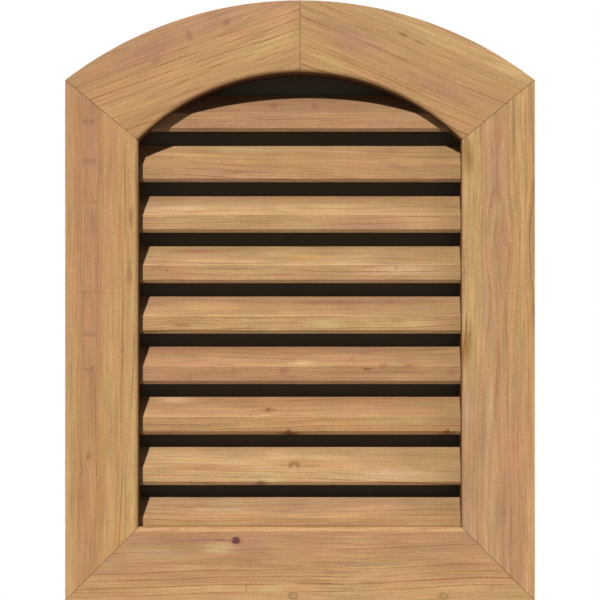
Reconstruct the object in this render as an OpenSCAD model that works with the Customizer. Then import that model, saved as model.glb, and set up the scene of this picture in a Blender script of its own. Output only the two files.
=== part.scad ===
// Arch-top gable vent. A flat trim frame of five cedar boards laps onto the wall, a case
// behind it stands in the wall's opening and holds nine fixed louvers, and an insect screen
// covers the case's back. Millimetres: X runs to the right, Y back into the wall, Z up.
// Heights are measured from the trim's bottom edge and depths from the wall's face. The whole
// vent is then lowered so that the origin lies on the bottom rail's back face.

/* [Trim frame] */
// Overall width of the trim frame
overall_w = 558.8; // [500:0.1:640]
// Height of the frame's upper corners, where the outer arch starts
corner_h = 619.3; // [560:0.1:700]
// Rise of the outer arch above the upper corners
arch_rise = 94.8; // [80:0.1:120]
// Width of the stiles and the bottom rail
trim_w = 87.3; // [70:0.1:100]
// Width of the arch boards at the crown
crown_w = 86.5; // [72:0.1:100]
// Distance of the opening's upper corners below the frame's upper corners
corner_drop = 71.8; // [60:0.1:85]
// Thickness of the trim boards
trim_t = 19.05; // [16:0.05:25]
// Radius of the rounded front edge around the opening
round_r = 6.35; // [3:0.05:9]

/* [Case] */
// Thickness of the case boards
case_t = 19.05; // [15:0.05:25]
// Depth of the case behind the wall's face
case_depth = 38.1; // [30:0.1:90]
// Depth of the rebate in the back of the trim that takes the case's front edge
rebate_d = 3.2; // [1:0.1:6]
// Depth of the grooves in the jambs that hold the louver ends
groove_d = 6.35; // [3:0.05:10]

/* [Louvers] */
// Thickness of the louver boards
louver_t = 17.5; // [14:0.1:20]
// Slope of the louvers from level, in degrees
louver_angle = 45; // [40:1:50]
// Depth of a louver from its front face to its back face
louver_run = 23; // [18:0.1:28]
// Height of the bevel under a louver's front face
bevel_h = 4.3; // [2:0.1:8]
// Depth of the bevel under a louver's front face
bevel_d = 3.1; // [1:0.1:5]
// Height of the lowest louver's front edge above the sill
sill_reveal = 9.7; // [6:0.1:20]
// Gap between the top louver and the crown of the opening
crown_gap = 24; // [16:0.1:34]
// Clearance between a louver's end and the bottom of its groove
end_gap = 0.3; // [0.1:0.1:0.8]

/* [Insect screen] */
// Thickness of the screen
screen_t = 1; // [0.5:0.1:2]
// Lap of the screen onto the case's back edges
screen_lap = 12.7; // [8:0.1:14]

/* [Wall fixing] */
// Height of the origin on the bottom rail above the trim's bottom edge
fixing_h = 34; // [20:0.5:45]

/* [Hidden] */
$fn = 144;
louver_count = 9;
louver_names = [for (k = [1:louver_count]) str("louver_", k)];

trim_colour = "#c49a6b";
case_colour = "#b08556";
louver_colour = "#bd9164";
screen_colour = "#2b2927";

// Radius of an arc from half its chord and its rise
function arc_radius(half_chord, rise) = (half_chord * half_chord + rise * rise) / (2 * rise);

// Outer arch of the trim
half_w = overall_w / 2;
frame_h = corner_h + arch_rise;
outer_r = arc_radius(half_w, arch_rise);
outer_centre_h = frame_h - outer_r;

// Arched opening inside the trim
open_half = half_w - trim_w;
crown_h = frame_h - crown_w;
spring_h = corner_h - corner_drop;
inner_r = arc_radius(open_half, crown_h - spring_h);
inner_centre_h = crown_h - inner_r;

// Outside of the case
case_half = open_half + case_t;
case_r = inner_r + case_t;
case_corner_h = inner_centre_h + sqrt(case_r * case_r - case_half * case_half);

// Louver section, from its front top edge: sloped top, plumb back, underside, bevel
louver_rise = louver_run * tan(louver_angle);
louver_plumb_t = louver_t / cos(louver_angle);
bevel_low = bevel_d * tan(louver_angle) - louver_plumb_t;
louver_section = [[0, 0], [louver_run, louver_rise], [louver_run, louver_rise - louver_plumb_t],
                  [bevel_d, bevel_low], [0, bevel_low + bevel_h]];

// Louver spacing: the top one hangs below the crown, the lowest one rests on the sill
top_edge_h = crown_h - crown_gap - louver_rise;
low_edge_h = trim_w + sill_reveal;
louver_pitch = (top_edge_h - low_edge_h) / (louver_count - 1);
groove_half = open_half + groove_d;
louver_half = groove_half - end_gap;

// Lays an outline, drawn as it is seen from the front, between two depths
module between(front, back)
    translate([0, back, 0]) rotate([90, 0, 0]) linear_extrude(back - front) children();

// Lowers the vent so that the origin lies on the bottom rail
module on_wall() translate([0, 0, -fixing_h]) children();

// Puts a right-hand piece on the left
module on_left() mirror([1, 0, 0]) children();

// Outline of the opening, grown all round by a margin
module opening_outline(margin = 0) {
    half = open_half + margin;
    low = trim_w - margin;
    r = inner_r + margin;
    corner = inner_centre_h + sqrt(r * r - half * half);
    translate([-half, low]) square([2 * half, corner - low]);
    intersection() {
        translate([0, inner_centre_h]) circle(r);
        translate([-half, low]) square([2 * half, inner_centre_h + r - low]);
    }
}

// Right half of a ring between two arcs, cut off by the joint through both its lower corners
module half_arch(r_in, centre_in, corner_in, r_out, centre_out, corner_out)
    intersection() {
        difference() {
            translate([0, centre_out]) circle(r_out);
            translate([0, centre_in]) circle(r_in);
        }
        polygon([[0, corner_in[1]], corner_in, corner_out,
                 [corner_out[0], centre_out + r_out], [0, centre_out + r_out]]);
    }

// Waste that a rounding cutter takes off a board's edge
module edge_waste() difference() {
    translate([-1, -1]) square(round_r + 1);
    translate([round_r, round_r]) circle(round_r);
}

// Space that the case's front edge fills in the back of the trim
module case_recess() between(-rebate_d, trim_t) opening_outline(case_t);

// Right stile, mitred at both ends and rounded along the opening
module stile() difference() {
    between(-trim_t, 0)
        polygon([[open_half, trim_w], [half_w, 0], [half_w, corner_h], [open_half, spring_h]]);
    translate([open_half, -trim_t, 0]) linear_extrude(corner_h) edge_waste();
    case_recess();
}

// Rail under the opening, mitred to the stiles
module rail() difference() {
    between(-trim_t, 0)
        polygon([[-half_w, 0], [half_w, 0], [open_half, trim_w], [-open_half, trim_w]]);
    translate([-half_w, -trim_t, trim_w]) rotate([0, 90, 0])
        linear_extrude(overall_w) edge_waste();
    case_recess();
}

// Right arch board, butted at the crown and mitred to the stile
module arch_board() difference() {
    between(-trim_t, 0)
        half_arch(inner_r, inner_centre_h, [open_half, spring_h],
                  outer_r, outer_centre_h, [half_w, corner_h]);
    translate([0, -trim_t, inner_centre_h]) rotate([-90, 0, 0])
        rotate_extrude() translate([inner_r, 0]) edge_waste();
    case_recess();
}

// One louver as long as twice half_length, cut off by the sill and the opening's arch
module louver_blank(k, half_length) intersection() {
    translate([-half_length, 0, top_edge_h - (k - 1) * louver_pitch]) rotate([90, 0, 90])
        linear_extrude(2 * half_length) polygon(louver_section);
    between(-trim_t, case_depth) {
        opening_outline();
        translate([-half_length, trim_w]) square([2 * half_length, spring_h - trim_w]);
    }
}

// Right side board of the case, grooved for the louver ends
module jamb() difference() {
    between(-rebate_d, case_depth)
        polygon([[open_half, trim_w - case_t], [case_half, trim_w - case_t],
                 [case_half, case_corner_h], [open_half, spring_h]]);
    for (k = [1:louver_count]) louver_blank(k, groove_half);
}

// Board of the case under the lowest louver
module case_sill() between(-rebate_d, case_depth)
    translate([-open_half, trim_w - case_t]) square([2 * open_half, case_t]);

// Right half of the case's curved head
module case_head() between(-rebate_d, case_depth)
    half_arch(inner_r, inner_centre_h, [open_half, spring_h],
              case_r, inner_centre_h, [case_half, case_corner_h]);

module left_stile() color(trim_colour) on_wall() on_left() stile();
module right_stile() color(trim_colour) on_wall() stile();
module bottom_rail() color(trim_colour) on_wall() rail();
module arch_left() color(trim_colour) on_wall() on_left() arch_board();
module arch_right() color(trim_colour) on_wall() arch_board();
module left_jamb() color(case_colour) on_wall() on_left() jamb();
module right_jamb() color(case_colour) on_wall() jamb();
module sill() color(case_colour) on_wall() case_sill();
module head_left() color(case_colour) on_wall() on_left() case_head();
module head_right() color(case_colour) on_wall() case_head();
module louver(k) color(louver_colour) on_wall() louver_blank(k, louver_half);
module insect_screen() color(screen_colour) on_wall()
    between(case_depth, case_depth + screen_t) opening_outline(screen_lap);

left_stile();
right_stile();
bottom_rail();
arch_left();
arch_right();
left_jamb();
right_jamb();
sill();
head_left();
head_right();
insect_screen();
for (k = [1:louver_count]) louver(k);
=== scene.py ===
import math
import random
from functools import partial
import bpy
import bmesh
from mathutils import Matrix, Vector


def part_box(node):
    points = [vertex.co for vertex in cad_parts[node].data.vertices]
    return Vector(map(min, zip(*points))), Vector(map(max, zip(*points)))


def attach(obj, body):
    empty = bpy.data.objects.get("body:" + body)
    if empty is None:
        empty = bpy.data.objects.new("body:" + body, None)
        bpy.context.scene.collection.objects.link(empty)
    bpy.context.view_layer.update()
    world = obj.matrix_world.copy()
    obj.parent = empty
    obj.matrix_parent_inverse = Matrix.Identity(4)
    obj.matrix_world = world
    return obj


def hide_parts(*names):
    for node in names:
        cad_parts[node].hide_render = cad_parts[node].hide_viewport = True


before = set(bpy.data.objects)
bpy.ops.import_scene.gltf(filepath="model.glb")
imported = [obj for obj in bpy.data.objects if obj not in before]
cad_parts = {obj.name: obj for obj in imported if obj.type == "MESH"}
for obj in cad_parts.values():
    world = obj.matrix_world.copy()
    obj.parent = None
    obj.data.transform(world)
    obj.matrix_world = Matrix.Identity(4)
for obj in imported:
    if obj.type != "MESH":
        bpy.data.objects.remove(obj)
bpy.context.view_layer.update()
mm = 0.001
inMm = (1000,) * 3       # turns places in m into places in mm
touching = 0.01 * mm     # corners nearer than this to a plane are on it


def linear(hexColour):
    # sRGB hex to the linear values that sockets hold
    parts = [int(hexColour[i:i + 2], 16) / 255 for i in (1, 3, 5)]
    return tuple(c / 12.92 if c <= 0.04045 else ((c + 0.055) / 1.055) ** 2.4 for c in parts) + (1.0,)


def addNode(tree, kind, feeds=(), stops=(), **settings):
    # adds one node, sets it up, fills a ramp's stops, and links or sets its inputs: a list feeds
    # them in order, a dictionary by name
    node = tree.nodes.new("ShaderNode" + kind)
    for key, value in settings.items():
        setattr(node, key, value)
    for number, (place, colour) in enumerate(stops):
        elements = node.color_ramp.elements
        element = elements[number] if number < len(elements) else elements.new(place)
        element.position = place
        element.color = colour
    for key, value in (feeds.items() if isinstance(feeds, dict) else enumerate(feeds)):
        if isinstance(key, int):
            socket = node.inputs[key]
        else:
            socket = next(s for s in node.inputs if s.name == key and s.enabled)
        if isinstance(value, bpy.types.Node):
            value = next(s for s in value.outputs if s.enabled)
        if isinstance(value, bpy.types.NodeSocket):
            tree.links.new(value, socket)
        else:
            socket.default_value = value
    return node


def newMaterial(name):
    # an empty material, and addNode for its own tree
    material = bpy.data.materials.new(name)
    material.use_nodes = True
    material.node_tree.nodes.clear()
    return material, partial(addNode, material.node_tree)


def arcRadius(halfChord, rise):
    return (halfChord ** 2 + rise ** 2) / (2 * rise)


# the sizes that the pieces share, all read from the frame
stileLow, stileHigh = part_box("right_stile")
archLow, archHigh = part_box("arch_right")
jambLow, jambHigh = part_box("right_jamb")
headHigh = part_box("head_right")[1]
bladeLow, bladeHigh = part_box("louver_2")
railLow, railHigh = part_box("bottom_rail")
screenLow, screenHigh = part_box("insect_screen")
frontY, backY = stileLow.y, stileHigh.y      # of the trim
openHalf, frameHalf = stileLow.x, stileHigh.x
trimWidth = frameHalf - openHalf
bottomZ, sillZ = railLow.z, railHigh.z
cornerZ, springZ = stileHigh.z, archLow.z
cornerRise = cornerZ - springZ
caseThick = jambHigh.x - jambLow.x
crownZ = headHigh.z - caseThick
outerRadius = arcRadius(frameHalf, archHigh.z - cornerZ)
outerCentreZ = archHigh.z - outerRadius
innerRadius = arcRadius(openHalf, crownZ - springZ)
innerCentreZ = crownZ - innerRadius

# camera, lamps and floor
studio = {
    "distance": 3.184,      # from the camera to the trim's front, m
    "eyeHeight": 0.3575,    # above the trim's bottom edge, m
    "viewWidth": 0.7137,    # what the camera takes in at the trim's front, m
    "sunSlope": (0.309, 0.792),  # how far its light moves right and down for each step back
    "sunStrength": 3.65,
    "sunAngle": 2.0,        # degrees across
    "skyLevel": 0.085,      # what the room gives back from every side, beside its pale floor
    # broad lamps light the back and the sides for the other views, and never reach the front
    "lamps": {"backLamp": ((0.9, 2.0, 1.4), 58), "sideLamp": ((2.4, 0.75, 0.7), 30),
              "leftLamp": ((-2.4, 0.9, 0.7), 20)},      # place in m, watts
    "lampSize": 1.4,        # m
    "lampAim": (0, 0, 0.3),  # about the middle of the vent
    "floorDrop": 1.0,       # the vent hangs on a wall, so the floor is well below it, m
    "floorSize": 120,       # m
    "floorTone": "#727272",  # as the lamps meet it, so that it sends a little sun back up on the vent
    "floorFade": (1.5, 6.0),  # m from the vent, where it fades into the white room
    "floorGlow": 0.8,       # how much of the eye's view of it beneath the vent is plain white
}
white = (1, 1, 1, 1)


def seenByEye(add):
    # 1 where the eye meets a thing straight on, in a reflection or through glass
    path = add("LightPath")
    seen = add("Math", [path.outputs["Is Camera Ray"], path.outputs["Is Glossy Ray"]], operation="MAXIMUM")
    return add("Math", [seen, path.outputs["Is Transmission Ray"]], operation="MAXIMUM")


def addLight(name, kind, strength):
    light = bpy.data.objects.new(name, bpy.data.lights.new(name, kind))
    bpy.context.scene.collection.objects.link(light)
    light.data.energy = strength
    return light


def buildStudio():
    scene = bpy.context.scene
    scene.view_settings.view_transform = "Standard"

    camera = bpy.data.objects.new("camera", bpy.data.cameras.new("camera"))
    scene.collection.objects.link(camera)
    camera.location = (0, frontY - studio["distance"], bottomZ + studio["eyeHeight"])
    camera.rotation_euler = (math.radians(90), 0, 0)
    camera.data.lens = camera.data.sensor_width * studio["distance"] / studio["viewWidth"]
    camera.data.dof.use_dof = False
    scene.camera = camera

    sun = addLight("sun", "SUN", studio["sunStrength"])
    right, down = studio["sunSlope"]
    sun.rotation_euler = Vector((-right, -1, down)).to_track_quat("Z", "Y").to_euler()
    sun.data.angle = math.radians(studio["sunAngle"])
    for name, (place, power) in studio["lamps"].items():
        lamp = addLight(name, "AREA", power)
        lamp.location = place
        lamp.rotation_euler = (lamp.location - Vector(studio["lampAim"])).to_track_quat("Z", "Y").to_euler()
        lamp.data.size = studio["lampSize"]

    world = bpy.data.worlds.new("room")
    scene.world = world
    world.use_nodes = True
    world.node_tree.nodes.clear()
    add = partial(addNode, world.node_tree)
    level = add("MapRange", {"Value": seenByEye(add), "To Min": studio["skyLevel"], "To Max": 1.0})
    back = add("Background", {"Color": white, "Strength": level})
    add("OutputWorld", {"Surface": back})

    bpy.ops.mesh.primitive_plane_add(size=studio["floorSize"], location=(0, 0, bottomZ - studio["floorDrop"]))
    floor = bpy.context.object
    floor.name = "floor"
    paint, add = newMaterial("paleFloor")
    seen = seenByEye(add)
    # the eye sees it nearly white with a faint shadow
    tone = add("Mix", {"Factor": seen, "A": linear(studio["floorTone"]), "B": white}, data_type="RGBA")
    matt = add("BsdfDiffuse", {"Color": tone})
    clear = add("BsdfTransparent")
    below = add("NewGeometry").outputs["Backfacing"]     # from below it isn't in the way
    glow = add("Emission", {"Color": white, "Strength": 1.0})
    start, end = studio["floorFade"]
    far = add("VectorMath", [add("TexCoord").outputs["Object"]], operation="LENGTH")
    bright = add("MapRange", {"Value": far.outputs["Value"], "From Min": start, "From Max": end,
                              "To Min": studio["floorGlow"], "To Max": 1.0}, interpolation_type="SMOOTHSTEP")
    share = add("Math", [seen, bright], operation="MULTIPLY")
    mixed = add("MixShader", [share, matt, glow])
    mixed = add("MixShader", [below, mixed, clear])
    add("OutputMaterial", {"Surface": mixed})
    floor.data.materials.append(paint)
    print("studio ready")


buildStudio()

# western red cedar, planed and left bare: straight fine rings, golden to pinkish brown,
# with a dull satin where the planer pressed the dense rings
cedarSpecies = {
    "ringWidth": 3.4,        # mm between rings on a quartered face
    "year": [(0.0, 0.2), (0.12, 0.0), (0.62, 0.08), (0.86, 1.0), (1.0, 0.3)],    # how dense, from spring on
    "faintest": 0.14,        # of the dense lines
    "darkest": 1.6,
    "rarity": 2.6,           # the more, the fewer dark years
    "drift": (240, 500),     # mm along and across, over which rings stray from true
    "figure": (120, 5.5),    # mm along and across: the longest streaks, with finer ones inside them
    "figureDepth": 0.9,      # how far the streaks swing in brightness
    "calm": 0.55,            # times that where a stretch is calm
    "busy": 1.35,            # and where it is busy
    "hueSwing": 0.38,        # how far the streaks swing between gold and pink
    "cloud": (48, 17),       # mm, soft uneven patches where sap and weather went deeper
    "cloudDepth": 0.26,
    "speck": (3.0, 1.4),     # mm, fibre ends, drawn coarser than real ones so that they show
    "speckDepth": 0.5,
    "ragged": (90, 12),      # mm, how far the figure drags a patch's edges
    "jagged": (7, 4),        # mm, how far fibre ends drag a mark's edges
    "ringTint": "#c3a07a",   # what a dense ring multiplies the wood by
    "grimeAndShade": "#7f6a55",      # what gathers in joints and saw marks, and painted shade inside the opening
    "worn": "#d8b486",       # handled outer edges
    "seam": (0.8 * mm, 0.6),     # width and strength of the grime along a joint
    "revealShade": (0.9 * mm, 2.2 * mm),  # width of the painted shade inside the opening, on straight boards and round the arch
    "wear": (1.5 * mm, 0.18),    # width and strength of the worn edges
    "sawRibs": (3.4, 0.16, 30),  # mm between a rough board's saw marks, their strength, and mm they stray
    "roughness": 0.62,
    "pressed": 0.12,         # how much smoother a dense ring is
    # what a board has where it doesn't say otherwise
    "tilt": 0, "taper": 0.0, "wander": 14, "lines": 0.8, "contrast": 1.0, "clouds": 1.0, "hueShare": 1.0,
    "toneSway": 0.1, "farTones": (), "eyes": (), "patches": (), "marks": (), "borders": (), "sawn": False,
    "plainMark": [0.1, 0.0],  # core and push of a mark that doesn't give them
}


def perMm(long, wide):
    # how often a pattern of this size repeats: along the grain, across it, and into the board
    return (1 / long, 1 / wide, 1 / wide)


def blot(add, where, x, y, long, wide, core, strength):
    # how strongly a soft-edged oval covers each spot of a board
    near = add("Mapping", {"Vector": where, "Scale": (1 / long, 1 / wide, 0),
                           "Location": (-x / long, -y / wide, 0)})
    far = add("VectorMath", [near], operation="LENGTH")
    return add("MapRange", {"Value": far.outputs["Value"], "From Min": 1.0, "From Max": core,
                            "To Min": 0.0, "To Max": strength}, interpolation_type="SMOOTHSTEP")


def cedar(name, board):
    material, add = newMaterial(name)
    look = {**cedarSpecies, **board}
    seed, specks = look["seed"], look["speckDepth"]
    depth = look["figureDepth"] * look["contrast"]
    hue = look["hueSwing"] * look["hueShare"]
    clouds = look["cloudDepth"] * look["clouds"]

    # the board's own place in mm: along the grain, across the face, out of the face
    spot = add("TexCoord").outputs["Object"]
    moved = add("VectorMath", [spot, look["centre"]], operation="SUBTRACT")
    turn = (math.radians(look["tilt"] - 90), 0, math.radians(-look["grain"]))
    laid = add("Mapping", {"Vector": moved, "Rotation": turn, "Scale": inMm})
    axes = add("SeparateXYZ", [laid])

    # rings never run quite true: a slow wander across and into the board
    slowPlace = add("VectorMath", [laid, perMm(*look["drift"]), (seed, 3.7 * seed, 0)],
                    operation="MULTIPLY_ADD")
    slow = add("TexNoise", {"Vector": slowPlace, "Scale": 1.0, "Detail": 2.0, "Roughness": 0.45})
    slowParts = add("SeparateColor", [slow.outputs["Color"]])
    wander = look["wander"]
    sway = add("VectorMath", [slow.outputs["Color"], (0, wander, wander), (0, -wander / 2, -wander / 2)],
               operation="MULTIPLY_ADD")
    warped = add("VectorMath", [laid, sway], operation="ADD")

    # a knot under the face parts the grain into a long eye
    for x, y, long, wide, opening in look["eyes"]:
        pull = blot(add, warped, x, y, long, wide, 0.0, -opening)
        aside = add("VectorMath", [warped, (0, 1, 0), (0, -y, 0)], operation="MULTIPLY_ADD")
        warped = add("VectorMath", [aside, pull, warped], operation="MULTIPLY_ADD")

    # figure: streaks of every size, the large ones long and broad, the small ones hair-fine
    figurePlace = add("VectorMath", [warped, perMm(*look["figure"]), (seed * 2.3, seed, 0)],
                      operation="MULTIPLY_ADD")
    figure = add("TexNoise", {"Vector": figurePlace, "Scale": 1.0, "Detail": 4.0, "Roughness": 0.85})
    figureParts = add("SeparateColor", [figure.outputs["Color"]])

    # distance from the tree's heart, which lies behind or beside the board
    across, behind = look["heart"]
    fromHeart = add("VectorMath", [warped, (0, across, -behind)], operation="SUBTRACT")
    flat = add("VectorMath", [fromHeart, (0, 1, 1)], operation="MULTIPLY")
    reach = add("VectorMath", [flat], operation="LENGTH")
    radius = add("Math", [axes.outputs["X"], look["taper"], reach.outputs["Value"]], operation="MULTIPLY_ADD")

    # fibre ends, which also make the outlines of the marks uneven
    speckPlace = add("VectorMath", [laid, perMm(*look["speck"])], operation="MULTIPLY")
    speck = add("TexNoise", {"Vector": speckPlace, "Scale": 1.0, "Detail": 1.0})
    along, over = look["jagged"]
    jagged = add("VectorMath", [speck.outputs["Color"], (along, over, 0), laid], operation="MULTIPLY_ADD")

    # small knots and dents, which push the rings aside
    masks = []
    for x, y, long, wide, tint, strength, *more in look["marks"]:
        core, push = more + look["plainMark"][len(more):]
        mask = blot(add, jagged, x + along / 2, y + over / 2, long, wide, core, strength)
        masks.append((mask, tint))
        if push:
            radius = add("Math", [mask, push / strength, radius], operation="MULTIPLY_ADD")

    # each ring: pale early wood, then a thin dense line, some years darker than others
    years = add("Math", [radius, 1 / look["ringWidth"], slowParts.outputs["Blue"]], operation="MULTIPLY_ADD")
    year = add("Math", [years], operation="FLOOR")
    season = add("Math", [years], operation="FRACT")
    chance = add("TexWhiteNoise", {"W": year}, noise_dimensions="1D")
    dense = add("ValToRGB", {"Fac": season}, [(place, (level,) * 3 + (1,)) for place, level in look["year"]])
    luck = add("Math", [chance.outputs["Value"], look["rarity"]], operation="POWER")
    darkest = look["darkest"] * look["lines"]
    power = add("MapRange", {"Value": luck, "To Min": look["faintest"], "To Max": darkest})
    faded = add("MapRange", {"Value": figureParts.outputs["Blue"], "From Min": 0.36, "From Max": 0.6})
    power = add("Math", [power, faded], operation="MULTIPLY")
    line = add("Math", [dense, power], operation="MULTIPLY")

    # colour runs across the board in bands, and may change from one end to the other
    toneX, toneZ, span = look["toneAxis"]
    toneStep = add("VectorMath", [moved, (toneX / span, 0, toneZ / span)], operation="DOT_PRODUCT")
    strays = look["toneSway"]
    tonePlace = add("Math", [slowParts.outputs["Red"], strays, 0.5 - strays / 2], operation="MULTIPLY_ADD")
    tonePlace = add("Math", [toneStep.outputs["Value"], tonePlace], operation="ADD")
    tone = add("ValToRGB", {"Fac": tonePlace}, [(place, linear(colour)) for place, colour in look["tones"]])
    if look["farTones"]:
        start, end = look["farFrom"]
        change = add("MapRange", {"Value": axes.outputs["X"], "From Min": start, "From Max": end},
                     interpolation_type="SMOOTHSTEP")
        farStops = [(place, linear(colour)) for place, colour in look["farTones"]]
        farTone = add("ValToRGB", {"Fac": tonePlace}, farStops)
        tone = add("Mix", {"Factor": change, "A": tone, "B": farTone}, data_type="RGBA")

    # soft patches of another tone, with ragged edges
    along, over = look["ragged"]
    ragged = add("VectorMath", [figure.outputs["Color"], (along, over, 0), warped], operation="MULTIPLY_ADD")
    for x, y, long, wide, tint, strength in look["patches"]:
        mask = blot(add, ragged, x + along / 2, y + over / 2, long, wide, 0.0, strength)
        tone = add("Mix", {"Factor": mask, "A": tone, "B": linear(tint)}, data_type="RGBA")

    # the figure lightens and darkens the tone, here calm and there busy, and clouds, gold and pink
    # streaks and fibre ends add their shares to red, green and blue
    swells = add("MapRange", {"Value": slowParts.outputs["Green"], "From Min": 0.35, "From Max": 0.62,
                              "To Min": look["calm"] * depth, "To Max": look["busy"] * depth})
    lift = add("Math", [figureParts.outputs["Red"], -0.5], operation="ADD")
    lift = add("Math", [lift, swells], operation="MULTIPLY")
    cloudPlace = add("VectorMath", [warped, perMm(*look["cloud"]), (0, seed * 1.7, seed)],
                     operation="MULTIPLY_ADD")
    cloud = add("TexNoise", {"Vector": cloudPlace, "Scale": 1.0, "Detail": 2.0})
    cloudParts = add("SeparateColor", [cloud.outputs["Color"]])
    start = 1 - specks / 2 - clouds / 2
    levels = (start, start - 0.5 * hue - 0.3 * clouds, start + 0.35 * hue - 0.3 * clouds - 0.05)
    swing = add("VectorMath", [lift, levels], operation="ADD")
    for source, share in ((cloudParts.outputs["Red"], (clouds,) * 3),
                          (cloudParts.outputs["Green"], (0, 0.6 * clouds, 0.6 * clouds)),
                          (figureParts.outputs["Green"], (0, hue, -0.7 * hue)),
                          (speck.outputs[0], (specks,) * 3)):
        swing = add("VectorMath", [source, share, swing], operation="MULTIPLY_ADD")
    streaked = add("VectorMath", [tone, swing], operation="MULTIPLY")
    colour = add("Mix", {"Factor": line, "A": streaked, "B": linear(look["ringTint"])},
                 data_type="RGBA", blend_type="MULTIPLY")
    for mask, tint in masks:
        colour = add("Mix", {"Factor": mask, "A": colour, "B": linear(tint)}, data_type="RGBA")

    # borders: what lies near a plane (point and normal) or a round edge (centre and radius) is tinted
    for point, shape, width, strength, tint, blend in look["borders"]:
        away = add("VectorMath", [spot, point], operation="SUBTRACT")
        if isinstance(shape, tuple):
            away = add("VectorMath", [away, tuple(Vector(shape).normalized())], operation="DOT_PRODUCT")
            away = away.outputs["Value"]
        else:
            away = add("VectorMath", [away, (1, 0, 1)], operation="MULTIPLY")
            away = add("VectorMath", [away], operation="LENGTH")
            away = add("Math", [away.outputs["Value"], shape], operation="SUBTRACT")
        away = add("Math", [away], operation="ABSOLUTE")
        near = add("MapRange", {"Value": away, "From Min": width, "From Max": 0.2 * width,
                                "To Min": 0.0, "To Max": strength})
        colour = add("Mix", {"Factor": near, "A": colour, "B": linear(tint)}, data_type="RGBA",
                     blend_type=blend)

    height = add("Math", [line, 0.6, figureParts.outputs["Red"]], operation="MULTIPLY_ADD")
    if look["sawn"]:
        # the saw left faint ribs across the grain, which also hold dust
        pitch, ribs, stray = look["sawRibs"]
        shaken = add("Math", [slowParts.outputs["Green"], stray, axes.outputs["X"]], operation="MULTIPLY_ADD")
        wave = add("Math", [shaken, math.tau / pitch], operation="MULTIPLY")
        wave = add("Math", [wave], operation="SINE")
        wave = add("Math", [wave, figureParts.outputs["Green"]], operation="MULTIPLY")
        height = add("Math", [wave, 0.7, height], operation="MULTIPLY_ADD")
        dusty = add("MapRange", {"Value": wave, "From Min": -0.5, "From Max": 0.3,
                                 "To Min": ribs, "To Max": 0.0})
        colour = add("Mix", {"Factor": dusty, "A": colour, "B": linear(look["grimeAndShade"])},
                     data_type="RGBA", blend_type="MULTIPLY")
    bump = add("Bump", {"Height": height, "Strength": 0.25, "Distance": 0.2 * mm})
    gloss = add("Math", [line, -look["pressed"], look["roughness"]], operation="MULTIPLY_ADD")
    wood = add("BsdfPrincipled", {"Base Color": colour, "Roughness": gloss, "Normal": bump,
                                  "IOR": 1.5, "Specular IOR Level": 0.25})
    add("OutputMaterial", {"Surface": wood})
    return material


def borders(joints=(), inside=(), outside=(), insideShade=1.0):
    # dirt where boards meet, painted shade inside the opening, pale wear along the outer edges
    dirtAndShade, pale = cedarSpecies["grimeAndShade"], cedarSpecies["worn"]
    straight, curved = cedarSpecies["revealShade"]
    seams = [(*joint, *cedarSpecies["seam"], dirtAndShade, "MULTIPLY") for joint in joints]
    shadedReveals = [(*edge, straight if isinstance(edge[1], tuple) else curved, insideShade, dirtAndShade, "MULTIPLY")
               for edge in inside]
    return seams + shadedReveals + [(*edge, *cedarSpecies["wear"], pale, "MIX") for edge in outside]


lowMitre = ((openHalf, 0, sillZ), (-1, 0, -1))
leftLowMitre = ((-openHalf, 0, sillZ), (1, 0, -1))
highMitre = ((openHalf, 0, springZ), (-cornerRise, 0, trimWidth))
leftHighMitre = ((-openHalf, 0, springZ), (cornerRise, 0, trimWidth))
crownJoint = ((0, 0, 0), (1, 0, 0))
innerArc = ((0, 0, innerCentreZ), innerRadius)
outerArc = ((0, 0, outerCentreZ), outerRadius)

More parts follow.
